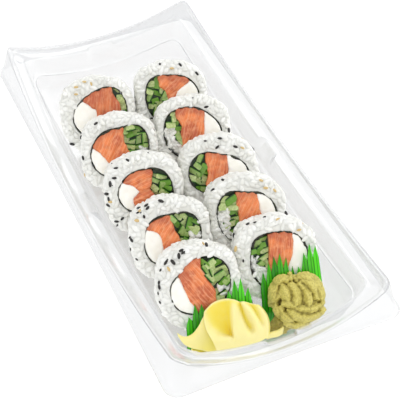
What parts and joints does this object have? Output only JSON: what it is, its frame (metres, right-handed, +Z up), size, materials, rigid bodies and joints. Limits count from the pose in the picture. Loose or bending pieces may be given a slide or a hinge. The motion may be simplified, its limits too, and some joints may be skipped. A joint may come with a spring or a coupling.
{
  "type": "takeaway sushi tray",
  "caption": "Clear takeaway tray holding two overlapping columns of salmon and cream cheese rolls, with pickled ginger, wasabi and green grass dividers at one end.",
  "frame": {"origin": "on the table under the middle of the tray, at the underside of its floor", "axes": "+Z up, +Y along the tray from the ginger and wasabi end to the empty end, +X to the right seen from the ginger end"},
  "size_m": [0.12, 0.2502, 0.0454],
  "materials": {
    "clear_plastic": "clear, glossy, thermoformed",
    "rice": "moist grains, soft sheen",
    "nori": "thin dark sheet, satin",
    "salmon": "raw fish, wet sheen with paler grain",
    "cream_cheese": "smooth, soft satin",
    "cucumber": "wet sticks, pale flesh with dark green skin",
    "ginger": "thin moist slices, pale rims and deep yellow folds",
    "wasabi": "stiff paste, satin",
    "green_plastic": "thin printed film, glossy"
  },
  "bodies": {
    "root": {"tray": "clear_plastic", "roll_l1_rice": "rice", "roll_l1_nori": "nori", "roll_l1_cheese": "cream_cheese", "roll_l1_salmon": "salmon", "roll_l1_cucumber": "cucumber", "roll_l2_rice": "rice", "roll_l2_nori": "nori", "roll_l2_cheese": "cream_cheese", "roll_l2_salmon": "salmon", "roll_l2_cucumber": "cucumber", "roll_l3_rice": "rice", "roll_l3_nori": "nori", "roll_l3_cheese": "cream_cheese", "roll_l3_salmon": "salmon", "roll_l3_cucumber": "cucumber", "roll_l4_rice": "rice", "roll_l4_nori": "nori", "roll_l4_cheese": "cream_cheese", "roll_l4_salmon": "salmon", "roll_l4_cucumber": "cucumber", "roll_l5_rice": "rice", "roll_l5_nori": "nori", "roll_l5_cheese": "cream_cheese", "roll_l5_salmon": "salmon", "roll_l5_cucumber": "cucumber", "roll_r1_rice": "rice", "roll_r1_nori": "nori", "roll_r1_cheese": "cream_cheese", "roll_r1_salmon": "salmon", "roll_r1_cucumber": "cucumber", "roll_r2_rice": "rice", "roll_r2_nori": "nori", "roll_r2_cheese": "cream_cheese", "roll_r2_salmon": "salmon", "roll_r2_cucumber": "cucumber", "roll_r2_core": "rice", "roll_r3_rice": "rice", "roll_r3_nori": "nori", "roll_r3_cheese": "cream_cheese", "roll_r3_salmon": "salmon", "roll_r3_cucumber": "cucumber", "roll_r4_rice": "rice", "roll_r4_nori": "nori", "roll_r4_cheese": "cream_cheese", "roll_r4_salmon": "salmon", "roll_r4_cucumber": "cucumber", "roll_r5_rice": "rice", "roll_r5_nori": "nori", "roll_r5_cheese": "cream_cheese", "roll_r5_salmon": "salmon", "roll_r5_cucumber": "cucumber", "roll_r5_core": "rice", "divider_ginger": "green_plastic", "divider_wasabi": "green_plastic", "ginger_hood": "ginger", "ginger_wing": "ginger", "ginger_base": "ginger", "ginger_strip": "ginger", "wasabi": "wasabi"}
  },
  "joints": []
}
